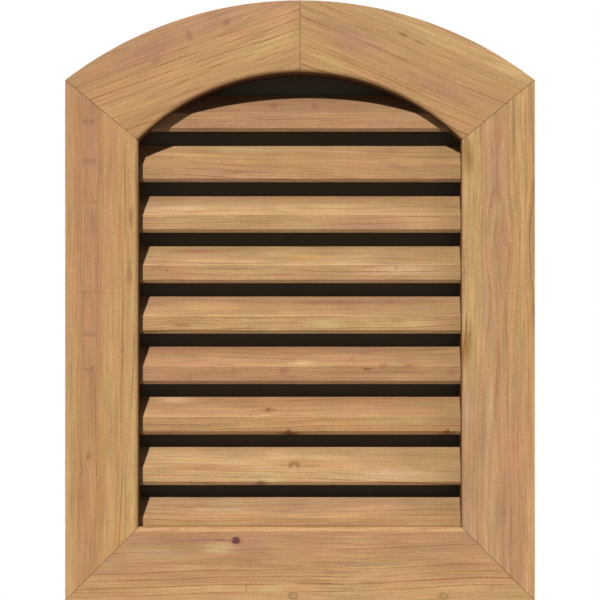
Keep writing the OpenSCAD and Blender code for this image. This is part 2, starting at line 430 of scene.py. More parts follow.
# how each trim board was cut: the heart's place (mm across, mm behind the face), the tones across it
# (and those of its far end, with the stretch in mm where they change), and its eyes, patches and marks.
# Each of these has its middle, half length and half width in mm, along and across the grain from the
# board's middle. Then an eye has how far it opens, a patch its tone and strength, and a mark its tone,
# strength, dark core's share and push on the rings
trimBoards = {
    "left_stile": {
        "grain": 90, "heart": (-60, 55), "taper": 0.012, "seed": 1.3, "lines": 0.75, "wander": 7,
        "eyes": [(145, -35, 60, 11, 0.6), (82, -34, 50, 11, 0.6)],
        "centre": (-(openHalf + frameHalf) / 2, frontY, (bottomZ + cornerZ) / 2),
        "toneAxis": (1, 0, trimWidth), "toneSway": 0.015,
        "tones": [(0.02, "#c49b6a"), (0.09, "#c29869"), (0.16, "#bf925e"), (0.20, "#b7895f"),
                  (0.42, "#b6885f"), (0.46, "#ba8b5b"), (0.54, "#c19664"), (0.62, "#be9463"),
                  (0.73, "#bd9261"), (0.84, "#c39a67"), (0.97, "#cba26e")],
        "farTones": [(0.02, "#c69a6b"), (0.09, "#c4966b"), (0.16, "#c09163"), (0.21, "#b98a63"),
                     (0.42, "#bb8b66"), (0.47, "#bc8b62"), (0.54, "#c49466"), (0.62, "#c69768"),
                     (0.73, "#c39566"), (0.84, "#c49867"), (0.97, "#c79d6c")],
        "farFrom": (-90, 60),
        "borders": borders([leftLowMitre, leftHighMitre], [((-openHalf, 0, 0), (1, 0, 0))],
                           [((-frameHalf, 0, 0), (1, 0, 0))]),
        "patches": [(122, -20, 34, 9, "#cc9264", 0.7), (60, 34, 60, 6, "#c99468", 0.5),
                    (-150, 15, 70, 12, "#bb8b5f", 0.7)],
        "marks": [(260, 15, 9, 11, "#a8745a", 0.35, 0.0, 2.0),
                  (260.5, 19.5, 3.2, 3.4, "#955f4a", 0.55, 0.3),
                  (260.5, 11, 3.2, 3.4, "#955f4a", 0.55, 0.3), (259.5, 15, 1.5, 9, "#9a664e", 0.4, 0.2),
                  (210, 15, 8, 13, "#a5735c", 0.35, 0.0, 1.0), (213, 15, 5, 14, "#9c6a50", 0.55, 0.3),
                  (209.5, 15, 4.6, 11, "#b98a66", 0.6, 0.4), (-36, 15, 8, 11, "#a8745a", 0.35, 0.0, 2.0),
                  (-34, 19, 3.2, 3, "#935f48", 0.5, 0.3), (-34, 11.5, 3.2, 3, "#935f48", 0.5, 0.3),
                  (-39, 15, 4, 2, "#9a664a", 0.5, 0.2), (10, 15, 7, 12, "#a8785c", 0.3, 0.0, 1.0),
                  (7.5, 15, 5, 14, "#9c6a50", 0.5, 0.3), (11, 15, 4.6, 11, "#b98a66", 0.6, 0.4),
                  (57, 16, 1.4, 24, "#9a6c48", 0.5, 0.2), (165, 15, 1.6, 20, "#9a6c48", 0.45, 0.2),
                  (-240, 18.5, 3, 2.4, "#935f48", 0.5, 0.3, 1.0),
                  (-240, 12, 3, 2.4, "#935f48", 0.5, 0.3, 1.0),
                  (-138, 16.6, 7, 1.2, "#7e5034", 0.75, 0.3), (-138, 13.2, 7, 1.2, "#7e5034", 0.75, 0.3),
                  (150, -34.5, 14, 5, "#9a6c42", 0.6, 0.2, 1.5),
                  (141, -34.5, 13, 2.6, "#9a6c42", 0.55, 0.2),
                  (76, -33, 14, 5, "#9a6c42", 0.6, 0.2, -1.5), (86, -33, 13, 2.6, "#9a6c42", 0.55, 0.2),
                  (-109, -17.4, 125, 1.0, "#96693f", 0.5), (-10, -24.6, 140, 1.0, "#9a6c42", 0.45),
                  (205, -17, 60, 0.9, "#9a6c42", 0.45), (190, -27, 60, 1.6, "#a4774c", 0.4)],
    },
    "right_stile": {
        "grain": 90, "heart": (3, 26), "taper": 0.014, "seed": 4.1, "lines": 0.75, "contrast": 1.1,
        "eyes": [(112, -3, 95, 32, 0.75), (108, -47, 85, 26, 0.75), (238, 6, 60, 18, 0.5)],
        "centre": ((openHalf + frameHalf) / 2, frontY, (bottomZ + cornerZ) / 2),
        "toneAxis": (1, 0, trimWidth), "toneSway": 0.08,
        "tones": [(0.03, "#b48b66"), (0.12, "#b98f6a"), (0.22, "#b98c66"), (0.32, "#c3986f"),
                  (0.42, "#c2966f"), (0.52, "#bc8f68"), (0.65, "#b98c67"), (0.80, "#bb8e65"),
                  (0.90, "#c49769"), (0.97, "#c5986b")],
        "farTones": [(0.03, "#bb9468"), (0.12, "#c29a69"), (0.22, "#c19968"), (0.32, "#bb9167"),
                     (0.42, "#bd926c"), (0.52, "#b78c64"), (0.62, "#bb8f65"), (0.72, "#be9463"),
                     (0.84, "#c69d6b"), (0.95, "#b98e60")],
        "farFrom": (-90, 30),
        "borders": borders([lowMitre, highMitre], [((openHalf, 0, 0), (1, 0, 0))],
                           [((frameHalf, 0, 0), (1, 0, 0))]),
        "patches": [(222, 38, 34, 11, "#956a3a", 0.95), (180, -43, 24, 8, "#a2683a", 0.95),
                    (0, 39, 34, 11, "#956a3a", 1.0), (35, -43, 22, 8, "#a06c3c", 0.95),
                    (-75, 7, 60, 3, "#d6ae8c", 0.6), (-140, -18, 40, 12, "#c48a6a", 0.7),
                    (200, 0, 80, 12, "#bd9370", 0.6), (-90, 36, 60, 3, "#d2ab88", 0.6),
                    (-105, 19, 105, 7, "#a87c5c", 0.45), (-205, 2, 50, 12, "#ac8260", 0.45),
                    (-122, -20, 16, 8, "#a87a58", 0.45)],
        "marks": [(112, -4, 30, 8, "#a87c5c", 0.5, 0.0, 3.0), (-60, 19.5, 110, 1.0, "#96693f", 0.5),
                  (150, 19, 100, 1.0, "#9a6c42", 0.5), (160, 25.5, 80, 0.9, "#9a6c42", 0.45),
                  (165, 15, 80, 0.9, "#9a6c42", 0.4), (185, 1, 55, 1.1, "#9e7048", 0.45),
                  (110, -26, 120, 0.9, "#9a6c42", 0.45), (-10, -31, 130, 0.9, "#9a6c42", 0.4),
                  (120, -21, 90, 0.9, "#9e7048", 0.4), (-119, -29, 5, 2, "#98603c", 0.5, 0.2, 1.0),
                  (-169, 0, 1.4, 18, "#a2744e", 0.3), (-207, 5, 1.4, 22, "#a2744e", 0.25)],
    },
    "bottom_rail": {
        "grain": 0, "heart": (-75, 30), "taper": -0.02, "seed": 7.7, "lines": 0.9, "ringWidth": 3.8,
        "contrast": 1.3, "clouds": 1.3,
        "centre": (0, frontY, (bottomZ + sillZ) / 2),
        "toneAxis": (0, 1, trimWidth), "toneSway": 0.08,
        "tones": [(0.05, "#c4986b"), (0.20, "#c4986a"), (0.33, "#ba8d64"), (0.50, "#ba8e64"),
                  (0.62, "#bd9066"), (0.80, "#b68964"), (0.90, "#b68862"), (0.97, "#c99a6e")],
        "borders": borders([lowMitre, leftLowMitre], [((0, 0, sillZ), (0, 0, 1))],
                           [((0, 0, bottomZ), (0, 0, 1))], insideShade=0.15),
        "patches": [(-65, 20, 34, 9, "#b5856a", 0.7), (-97, 16, 28, 12, "#d2ae84", 0.9),
                    (60, 22, 60, 12, "#bb8b69", 0.7), (55, -6, 26, 7, "#c99268", 0.7),
                    (-214, -37, 22, 3, "#c98960", 0.8), (-86, -37, 22, 3, "#c98960", 0.8),
                    (-170, -8, 70, 6, "#b98b68", 0.6), (205, -4, 44, 6, "#b58864", 0.7),
                    (-120, -30, 90, 3, "#d4ae7e", 0.6), (85, -10, 80, 22, "#d2a678", 0.85),
                    (-58, 7, 46, 17, "#a57a56", 0.6), (-165, 12, 60, 9, "#bd9878", 0.6),
                    (55, -30, 60, 9, "#d0aa7e", 0.6), (-30, -31, 24, 8, "#d6b387", 0.6),
                    (198, -30, 34, 7, "#cfaa7c", 0.5)],
        "marks": [(-117, 28, 40, 2.4, "#8f5f58", 0.6, 0.0), (-53, 28, 22, 2.4, "#96665a", 0.45, 0.0),
                  (-93, 28, 17, 1.8, "#7f5148", 0.7, 0.3), (-76, 27.5, 11, 7, "#94604c", 0.6, 0.3, 4.0),
                  (-76, 27.5, 5.4, 4.6, "#55302b", 0.95, 0.72),
                  (-77.4, 28.6, 2.2, 1.5, "#94604f", 0.8, 0.3),
                  (-73.6, 26, 1.6, 1.4, "#835043", 0.7, 0.3), (-150, 0.5, 95, 1.3, "#94683f", 0.6),
                  (-165, -18.6, 110, 1.3, "#94683f", 0.6), (-50, -3, 50, 1.5, "#9a6c42", 0.5),
                  (-60, -19, 40, 1.3, "#9a6c42", 0.5), (-8, -38, 7.6, 6.4, "#8f6138", 0.7, 0.45, 3.0),
                  (-8, -38, 4.8, 4.0, "#c39c6c", 0.8, 0.2),
                  (171, -38.5, 7.6, 6.4, "#8f6138", 0.65, 0.45, 3.0),
                  (171, -38.5, 4.8, 4.0, "#c39c6c", 0.7, 0.2), (-64, -30, 1.1, 8, "#84583a", 0.6, 0.2),
                  (228, -28, 1.1, 6, "#8c6040", 0.5, 0.2), (190, 1, 44, 1.4, "#9a6c44", 0.5),
                  (215, -16, 30, 1.3, "#9a6c44", 0.5), (-150, 41, 12, 2.6, "#ac7450", 0.55),
                  (147, 41, 12, 2.6, "#ac7450", 0.55)],
    },
    "arch_left": {
        "grain": 23, "heart": (-90, 40), "taper": 0.05, "seed": 11.2, "lines": 0.9, "ringWidth": 4.4,
        "hueShare": 0.6, "contrast": 1.2, "eyes": [(-63, -52, 60, 13, 0.7), (55, -5, 40, 10, 0.5)],
        "centre": (-frameHalf / 2, frontY, (crownZ + archHigh.z) / 2),
        "toneAxis": (-math.sin(math.radians(23)), math.cos(math.radians(23)), 120 * mm), "toneSway": 0.10,
        "tones": [(0.0, "#bd9163"), (0.08, "#c29667"), (0.25, "#be9163"), (0.42, "#b4875e"),
                  (0.58, "#ae845d"), (0.75, "#ae825f"), (0.95, "#b98c5e")],
        "borders": borders([leftHighMitre, crownJoint], [innerArc], [outerArc]),
        "patches": [(-47, -2, 70, 18, "#ac7b5e", 0.8), (47, 4, 48, 14, "#ad7d61", 0.7),
                    # the golden patch 86 mm along and 49 across is a painted highlight, a satin sheen near
                    # the crown's foot
                    (86, -49, 75, 16, "#c9a46c", 0.9), (-110, 3, 30, 9, "#c08a5e", 0.7),
                    (105, 8, 50, 26, "#a47c5a", 0.7)],
        "marks": [(55, -4.5, 7, 7, "#885a42", 0.65, 0.1, 3.0), (66, -7, 22, 1.2, "#96663f", 0.5),
                  (8, -1, 6, 11, "#925f48", 0.65, 0.1, 2.0), (-40, -14, 8, 10, "#9a6c50", 0.45, 0.0, 1.0),
                  (85, -28, 75, 1.2, "#94683c", 0.55), (100, -33, 60, 1.1, "#94683c", 0.45),
                  (20, -36, 60, 1.4, "#96693f", 0.45), (-63, -52, 16, 4, "#a07248", 0.5, 0.1, 3.0),
                  (-20, -50, 60, 1.3, "#96693f", 0.5), (-70, -72, 40, 1.3, "#96693f", 0.5),
                  (80, -62, 70, 1.2, "#96693f", 0.45)],
    },
    "arch_right": {
        "grain": -23, "heart": (-120, 50), "taper": 0.02, "seed": 14.9, "lines": 0.85, "ringWidth": 4.0,
        "hueShare": 0.5, "clouds": 0.6, "eyes": [(-6, -4, 60, 12, 0.5)],
        "centre": (frameHalf / 2, frontY, (crownZ + archHigh.z) / 2),
        "toneAxis": (math.sin(math.radians(23)), math.cos(math.radians(23)), 120 * mm), "toneSway": 0.10,
        "tones": [(0.0, "#bd9163"), (0.08, "#ba8e61"), (0.25, "#b88d63"), (0.42, "#bc9263"),
                  (0.60, "#c2986d"), (0.72, "#c1976b"), (0.90, "#c59c68")],
        "borders": borders([highMitre, crownJoint], [innerArc], [outerArc]),
        "patches": [(-68, -32, 50, 20, "#b8876b", 0.8), (49, -46, 75, 14, "#b28365", 0.7),
                    (-96, -66, 50, 10, "#c69e68", 0.9), (16, 10, 120, 12, "#cea873", 0.7),
                    (118, 6, 44, 14, "#d4b07c", 0.8)],
        "marks": [(-16, -4, 13, 2.6, "#855830", 0.75, 0.1, 2.0),
                  (4, -5, 10, 2.0, "#8a5e36", 0.7, 0.1, 1.5), (-7, -56.5, 120, 1.1, "#8f6238", 0.6),
                  (-30, -60, 100, 1.1, "#8f6238", 0.5), (85, -52, 40, 1.0, "#94683c", 0.5),
                  (-60, -12, 70, 1.1, "#9a6c42", 0.4), (70, -20, 70, 1.0, "#9a6c42", 0.35)],
    },
}


def meets(a, b, slack=touching):
    return abs(a - b) < slack


def selectEdges(test):
    # selects the edges whose two ends both pass the test, in edit mode
    mesh = bmesh.from_edit_mesh(bpy.context.object.data)
    for part in (*mesh.verts, *mesh.edges, *mesh.faces):
        part.select = False
    bpy.context.tool_settings.mesh_select_mode = (False, True, False)
    for edge in mesh.edges:
        edge.select = all(test(v.co) for v in edge.verts)
    mesh.select_flush_mode()
    bmesh.update_edit_mesh(bpy.context.object.data)


def cutOff(point, normal):
    # slices the piece and drops the side that the normal points to
    bpy.ops.mesh.select_all(action="SELECT")
    bpy.ops.mesh.bisect(plane_co=point, plane_no=Vector(normal).normalized(), use_fill=True, clear_outer=True)


def pick(*pieces):
    # selects nothing but these and makes the first one active
    bpy.ops.object.select_all(action="DESELECT")
    for piece in pieces:
        piece.select_set(True)
    bpy.context.view_layer.objects.active = pieces[0]


def startFrom(primitive, name, **size):
    # adds a primitive at its place with nothing else selected
    bpy.ops.object.select_all(action="DESELECT")
    primitive(**size)
    piece = bpy.context.object
    piece.name = name
    bpy.ops.object.transform_apply(location=True, rotation=True, scale=True)
    return piece


def startBlock(name, low, high):
    return startFrom(bpy.ops.mesh.primitive_cube_add, name, size=1, location=(Vector(low) + Vector(high)) / 2,
                     scale=Vector(high) - Vector(low))


def copyOf(model, name):
    copy = model.copy()
    copy.data = model.data.copy()
    copy.name = name
    bpy.context.scene.collection.objects.link(copy)
    return copy


def mirrored(piece, name):
    # a left-hand copy, its faces turned outwards again
    copy = copyOf(piece, name)
    pick(copy)
    copy.scale.x = -1
    bpy.ops.object.transform_apply(location=False, rotation=False, scale=True)
    bpy.ops.object.mode_set(mode="EDIT")
    bpy.ops.mesh.select_all(action="SELECT")
    bpy.ops.mesh.normals_make_consistent(inside=False)
    bpy.ops.object.mode_set(mode="OBJECT")
    return copy


def applyModifier(piece, kind, **settings):
    pick(piece)
    modifier = piece.modifiers.new(kind.lower(), kind)
    for key, value in settings.items():
        setattr(modifier, key, value)
    bpy.ops.object.modifier_apply(modifier=modifier.name)


def cutWith(piece, cutter, operation="DIFFERENCE"):
    applyModifier(piece, "BOOLEAN", object=cutter, operation=operation, solver="EXACT")
    bpy.data.objects.remove(cutter)


def easeEdges(piece, width):
    # takes the sharpness off every arris, as a touch of sandpaper does
    applyModifier(piece, "BEVEL", width=width, segments=2, limit_method="ANGLE",
                  angle_limit=math.radians(32), use_clamp_overlap=True)
    bpy.ops.object.shade_smooth_by_angle(angle=math.radians(35))
    # broad faces stay flat beside their small rounds
    applyModifier(piece, "WEIGHTED_NORMAL", keep_sharp=True)


def giveMaterial(piece, material):
    piece.data.materials.clear()
    piece.data.materials.append(material)


def finish(piece, node, material):
    giveMaterial(piece, material)
    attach(piece, "root")
    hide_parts(node)


trimCut = {
    "rounding": 6.35 * mm,    # router's round along the opening
    "roundingSteps": 8,
    "arris": 0.35 * mm,       # sandpaper on the other edges, which also shows as a hairline at the joints
    "arcSteps": 256,
}


def startDisc(name, radius, front, back, centreZ):
    # a round solid between two depths, its flat sides to the front and back
    return startFrom(bpy.ops.mesh.primitive_cylinder_add, name, vertices=trimCut["arcSteps"], radius=radius,
                     depth=back - front, location=(0, (front + back) / 2, centreZ),
                     rotation=(math.radians(90), 0, 0))


def archedBlock(name, margin, front, back):
    # the opening's shape as a solid, grown all round by a margin
    half, radius = openHalf + margin, innerRadius + margin
    low = sillZ - margin
    corner = innerCentreZ + math.sqrt(radius ** 2 - half ** 2)
    body = startBlock(name, (-half, front, low), (half, back, corner))
    dome = startDisc("dome", radius, front, back, innerCentreZ)
    bpy.ops.object.mode_set(mode="EDIT")
    cutOff((half, 0, 0), (1, 0, 0))
    cutOff((-half, 0, 0), (-1, 0, 0))
    cutOff((0, 0, low), (0, 0, -1))
    bpy.ops.object.mode_set(mode="OBJECT")
    cutWith(body, dome, "UNION")
    return body


def roundOver(test):
    # the router's round, in edit mode
    selectEdges(test)
    bpy.ops.mesh.bevel(offset=trimCut["rounding"], segments=trimCut["roundingSteps"], affect="EDGES")


def buildTrim():
    # right stile: a block mitred at both ends
    stile = startBlock("rightStile", stileLow, stileHigh)
    bpy.ops.object.mode_set(mode="EDIT")
    cutOff(*lowMitre)
    cutOff(*highMitre)
    roundOver(lambda c: meets(c.x, openHalf) and meets(c.y, frontY))
    bpy.ops.object.mode_set(mode="OBJECT")

    # bottom rail
    rail = startBlock("bottomRail", railLow, railHigh)
    bpy.ops.object.mode_set(mode="EDIT")
    cutOff((openHalf, 0, sillZ), (1, 0, 1))
    cutOff((-openHalf, 0, sillZ), (-1, 0, 1))
    roundOver(lambda c: meets(c.z, sillZ) and meets(c.y, frontY))
    bpy.ops.object.mode_set(mode="OBJECT")

    # right arch board: a disc with the opening bored out, cut off at the crown and at the mitre
    arch = startDisc("archRight", outerRadius, frontY, backY, outerCentreZ)
    cutWith(arch, startDisc("bore", innerRadius, 1.5 * frontY, -1.5 * frontY, innerCentreZ))
    bpy.ops.object.mode_set(mode="EDIT")
    cutOff((0, 0, 0), (-1, 0, 0))
    cutOff((openHalf, 0, springZ), (cornerRise, 0, -trimWidth))
    cutOff((0, 0, springZ), (0, 0, -1))
    roundOver(lambda c: meets(c.y, frontY)
              and meets(math.hypot(c.x, c.z - innerCentreZ), innerRadius, 0.1 * mm))
    bpy.ops.object.mode_set(mode="OBJECT")

    # the case's front edge fits into a rebate in their backs
    for piece in (stile, rail, arch):
        cutWith(piece, archedBlock("rebate", caseThick, jambLow.y, backY + 1 * mm))
        easeEdges(piece, trimCut["arris"])
    pieces = {"right_stile": stile, "left_stile": mirrored(stile, "leftStile"), "bottom_rail": rail,
              "arch_right": arch, "arch_left": mirrored(arch, "archLeft")}
    for node, piece in pieces.items():
        finish(piece, node, cedar("cedar " + node.replace("_", " "), trimBoards[node]))
    print("trim boards ready")


buildTrim()

# louvers, from the top: tones of the plumb face, the slope by its front edge, and the slope's back, which is
# darker as painted shade under the louver above; the slope tones are also lowered, painted shade against the
# stronger light on the slope
louverCut = {
    "arris": 0.3 * mm,
    "bevel": (3.1 * mm, 4.3 * mm),   # under the front edge: depth, height
    "toneStops": (0.10, 0.483, 0.494, 0.512, 0.53, 0.98),    # face twice, a paler line along the fold twice, slope, its back in painted shade
    # painted shade: darker patches lie on all of them, most toward the right stile, which shuts out part of
    # the light there
    "dirtAndShade": [(205, 0, 62, 300, "#9d7a52", 0.75), (168, 18, 100, 24, "#9d7a52", 0.55),
             (-190, -10, 45, 12, "#9d7a52", 0.35), (130, 3, 85, 8, "#9d7a52", 0.35)],
}
louverBoards = [
    # the top louver's tones are darker still, painted shade from the arch's shadow over its slope
    {"tones": ("#b48761", "#a37959", "#906b4d"), "lines": 0.5, "worn": "#b18763",
     "marks": [(-32, 13, 7, 9, "#8c5c44", 0.7, 0.0, 2.0), (18, 13, 7, 10, "#8c5c44", 0.7, 0.0, 2.0)]},
    {"tones": ("#b98d62", "#b2875d", "#a8845c"), "lines": 0.8, "worn": "#b98e63",
     "eyes": [(-79, -7, 60, 8, 0.6), (95, 2, 120, 22, 0.65)],
     "patches": [(-100, -8, 130, 10, "#bb8c6b", 0.8), (-60, 6, 60, 5, "#c09060", 0.7),
                 (-60, 27, 80, 7, "#b2986f", 0.9), (-130, 15, 70, 7, "#c49d6c", 0.7),
                 (100, -12, 80, 6, "#cda27c", 0.7), (70, 24, 60, 6, "#ac8264", 0.6),
                 (-60, -13, 60, 5, "#a67c56", 0.7), (165, 4, 34, 8, "#9c744e", 0.6)],
     "marks": [(-79, -7, 28, 3.2, "#9c6e48", 0.55, 0.0, 1.5), (90, 10, 70, 1.1, "#96693f", 0.5),
               (60, 18, 90, 1.1, "#96693f", 0.45), (120, 26, 40, 1.6, "#a4745a", 0.5)]},
    {"tones": ("#bf9568", "#c8a076", "#93704d"), "lines": 0.8, "worn": "#c8a175",
     "eyes": [(-85, -16, 80, 12, 0.7), (110, 14, 90, 10, 0.5)],
     "patches": [(78, -10, 75, 8, "#b3856a", 0.8), (-138, 12, 50, 6, "#cda486", 0.7),
                 (20, -12, 50, 5, "#c29f70", 0.6), (30, 14, 60, 5, "#c39c66", 0.6),
                 (-130, 8, 32, 5, "#d6b184", 0.8), (-18, 8, 24, 5, "#d6b07e", 0.8),
                 (72, -8, 80, 8, "#b98a67", 0.8), (-100, 26, 80, 5, "#a98060", 0.6)],
     "marks": [(75, -7.5, 50, 1.0, "#94683c", 0.5), (-90, -4, 80, 0.9, "#9a6c42", 0.45),
               (100, 14, 8, 3, "#a87a50", 0.4, 0.1, 1.0)]},
    {"tones": ("#be9369", "#bf976f", "#9e7b56"), "lines": 0.8, "worn": "#c8a174",
     "eyes": [(70, 4, 150, 16, 0.6), (115, -4, 50, 7, 0.6)],
     "patches": [(-100, 7, 80, 5, "#d0a67c", 0.7), (113, -5, 56, 7, "#dbb58d", 0.9),
                 (-120, 24, 60, 6, "#9a6c50", 0.8), (5, 12, 60, 8, "#bd9157", 0.8),
                 (90, 22, 90, 7, "#a98d62", 0.7), (-150, -4, 60, 9, "#bb8c60", 0.6)],
     "marks": [(-120, 23, 60, 1.6, "#8f6040", 0.5), (115, -3, 2, 3, "#96603f", 0.6, 0.1, 2.0),
               (112, 3, 24, 1.6, "#a8705a", 0.65), (-177, -4, 4, 1.8, "#8c5e3a", 0.6, 0.2, 1.0),
               (-159, -4, 4, 1.8, "#8c5e3a", 0.6, 0.2, 1.0), (40, 22, 90, 1.2, "#9a7046", 0.45)]},
    {"tones": ("#c19769", "#ba8f66", "#9d7657"), "lines": 0.7, "worn": "#c79f72",
     "eyes": [(-40, -15, 100, 12, 0.65), (120, -4, 40, 8, 0.6), (10, 12, 70, 9, 0.5)],
     "patches": [(40, 22, 60, 6, "#9e7252", 0.7), (150, 14, 40, 7, "#b6907a", 0.7),
                 (30, -7, 40, 6, "#d6b27e", 0.8), (60, 8, 80, 7, "#b08460", 0.6),
                 (-110, 16, 80, 12, "#c49a68", 0.7), (110, 24, 100, 6, "#966d54", 0.6),
                 (-150, -3, 60, 8, "#b88a5e", 0.7), (145, -8, 50, 6, "#c8a676", 0.7),
                 (-30, -13, 60, 5, "#d0a878", 0.7), (10, 25, 60, 6, "#8f6a4c", 0.5),
                 (40, 3, 60, 4, "#a47c56", 0.6), (160, 27, 50, 6, "#865f48", 0.7)],
     "marks": [(116, -4, 11, 2.4, "#a07048", 0.5, 0.1, 1.0), (-141, -8, 19, 3, "#9a6440", 0.7),
               (-60, -2, 70, 1.0, "#9a6c42", 0.45), (40, 24, 40, 1.4, "#8f6040", 0.45)]},
    {"tones": ("#b2855e", "#c0936b", "#92694b"), "lines": 0.5, "worn": "#c0966c",
     "patches": [(-130, 5, 60, 12, "#bc8a6c", 0.7), (0, 14, 60, 10, "#b08460", 0.5),
                 (3, 8, 26, 7, "#d4ac7c", 0.9), (60, 14, 60, 8, "#ac7c58", 0.6),
                 (-170, -4, 40, 12, "#b98a68", 0.6), (110, -8, 50, 5, "#bb8c64", 0.5)],
     "marks": [(81, -2.5, 10, 1.3, "#6e4529", 0.8, 0.2), (100, 1, 8, 5, "#a06a44", 0.75, 0.2, 1.0),
               (131, 1, 8, 5, "#a06a44", 0.75, 0.2, 1.0), (-20, -4, 9, 5, "#9c6448", 0.65),
               (-132, -9, 3.4, 7, "#9c6c4c", 0.6), (-80, -5, 4, 8, "#9c6c4c", 0.6),
               (182, -5, 9, 5, "#9c6448", 0.65), (63, 12, 5, 7, "#a06a48", 0.5)]},
    {"tones": ("#b98c60", "#be9168", "#9b734f"), "lines": 0.8, "worn": "#be946a",
     "eyes": [(-150, 27, 50, 10, 0.7), (-38, 10, 34, 9, 0.5), (-60, -16, 90, 10, 0.6)],
     "patches": [(-150, 27, 46, 7, "#c8a07a", 0.8), (120, 16, 110, 10, "#a87e5c", 0.4),
                 (60, -7, 90, 6, "#c99a62", 0.5), (120, -3, 60, 6, "#c2a070", 0.7),
                 (90, 12, 90, 9, "#b98c6c", 0.7), (-48, 5, 14, 4, "#d2ae80", 0.8)],
     "marks": [(-38, 11, 20, 2.2, "#8a5a34", 0.75, 0.2), (-38, 11, 11, 8, "#a8744a", 0.5, 0.0, 2.5),
               (-38, 11, 3.5, 4.2, "#74462a", 0.9, 0.6), (-38, 11.2, 1.8, 2.1, "#b48658", 0.9, 0.4),
               (-12, -13.2, 20, 1.3, "#74482a", 0.85, 0.3), (-14, -12.4, 3.6, 1.9, "#5e3820", 0.95, 0.6),
               (-14, -12.3, 1.5, 0.8, "#b08050", 0.9, 0.4), (177, -12.8, 16, 1.2, "#84562f", 0.7, 0.3),
               (176.5, -12.4, 3.4, 1.9, "#68401f", 0.9, 0.6),
               (176.5, -12.3, 1.5, 0.8, "#b08050", 0.9, 0.4), (-120, -7, 80, 1.1, "#94683c", 0.5),
               (80, 24, 90, 1.1, "#96693f", 0.45)]},
    {"tones": ("#c89f72", "#bf956b", "#ac8861"), "lines": 0.7, "worn": "#c0966a",
     "eyes": [(-8, 3, 60, 12, 0.6), (-40, -14, 50, 8, 0.6)],
     "patches": [(-60, 14, 260, 9, "#cba67a", 0.5), (-120, 9, 110, 4, "#d2ac82", 0.7),
                 (105, -6, 80, 7, "#d8b290", 0.7), (-120, 1, 80, 3, "#bc845c", 0.9),
                 (-25, 20, 24, 10, "#c4a272", 0.7), (-36, -9, 32, 8, "#dab886", 0.9),
                 (10, 7, 44, 9, "#a87d56", 0.7)],
     "marks": [(-6.5, 6.5, 9, 6, "#96643a", 0.75, 0.1, 2.0), (-11, 3, 5, 5, "#8a5a30", 0.75, 0.3, 1.5),
               (-2.5, 3, 4.6, 5, "#8c5c30", 0.75, 0.3, 1.5), (15, 2.6, 13, 2.6, "#a0734a", 0.6, 0.2),
               (-46, -13.4, 13, 2.8, "#7a5030", 0.75, 0.1, 1.5), (100, 9, 90, 1.0, "#a0744a", 0.4)]},
    {"tones": ("#b58e63", "#ba8f68", "#a37f5d"), "lines": 0.7, "worn": "#bb9167",
     "eyes": [(110, 12, 60, 10, 0.6), (20, 4, 80, 8, 0.5)],
     "patches": [(60, 4, 80, 5, "#c09062", 0.8), (120, 22, 70, 7, "#a58a68", 0.7),
                 (165, 3, 34, 7, "#9c7650", 0.6), (-60, 28, 90, 5, "#ae8f66", 0.6),
                 (-110, 6, 70, 6, "#c4906a", 0.8), (-100, 16, 60, 3, "#cca888", 0.8),
                 (100, 14, 50, 8, "#c89e74", 0.6)],
     "marks": [(-60, 0, 80, 1.0, "#94683c", 0.45), (-164, 20, 3, 5, "#a0745c", 0.5),
               (60, 24, 60, 1.2, "#a07248", 0.45)]},
]


def buildLouvers():
    run = bladeHigh.y - bladeLow.y
    plumb = bladeHigh.z - bladeLow.z - run     # sloped at 45 degrees, so it rises as far as it runs
    depth, height = louverCut["bevel"]
    thick = plumb + depth
    edgeZ = bladeHigh.z - run                  # front top edge of the second louver
    half = bladeHigh.x
    blank = startBlock("blank", (-half, 0, edgeZ - thick), (half, run, edgeZ))
    bpy.ops.object.mode_set(mode="EDIT")
    selectEdges(lambda c: meets(c.y, run))
    bpy.ops.transform.translate(value=(0, 0, run))
    cutOff((0, 0, edgeZ - plumb + height), (0, -height, -depth))
    bpy.ops.object.mode_set(mode="OBJECT")

    for k, board in enumerate(louverBoards, start=1):
        low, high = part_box("louver_%d" % k)
        drop = Vector((0, 0, high.z - bladeHigh.z))
        louver = copyOf(blank, "louver%d" % k)
        louver.data.transform(Matrix.Translation(drop))
        pick(louver)
        if low.z > bladeLow.z + drop.z + touching:      # the lowest one sits on the sill
            bpy.ops.object.mode_set(mode="EDIT")
            cutOff((0, 0, low.z), (0, 0, -1))
            bpy.ops.object.mode_set(mode="OBJECT")
        if high.x < half - touching:                    # the top one is sawn to the arch
            cutWith(louver, archedBlock("arch", 0, -run, 2 * run), "INTERSECT")
        easeEdges(louver, louverCut["arris"])
        face, fold, back = board["tones"]
        tones = (face, face, board["worn"], board["worn"], fold, back)
        # each one comes from another part of the log, every second one turned end for end
        look = {
            **board, "grain": 0, "tilt": 45, "seed": 20.0 + 3.3 * k, "centre": (0, 0, high.z - run),
            "heart": (-40 - 9 * (k % 3), 28 + 5 * (k % 4)), "taper": 0.02 * (-1) ** k,
            "toneAxis": (0, 1, 50 * mm), "toneSway": 0.03, "clouds": 1.5,
            "tones": list(zip(louverCut["toneStops"], tones)),
            "patches": [*board.get("patches", ()), *louverCut["dirtAndShade"]],
        }
        finish(louver, "louver_%d" % k, cedar("cedar louver %d" % k, look))
    bpy.data.objects.remove(blank)
    print("louvers ready")


buildLouvers()

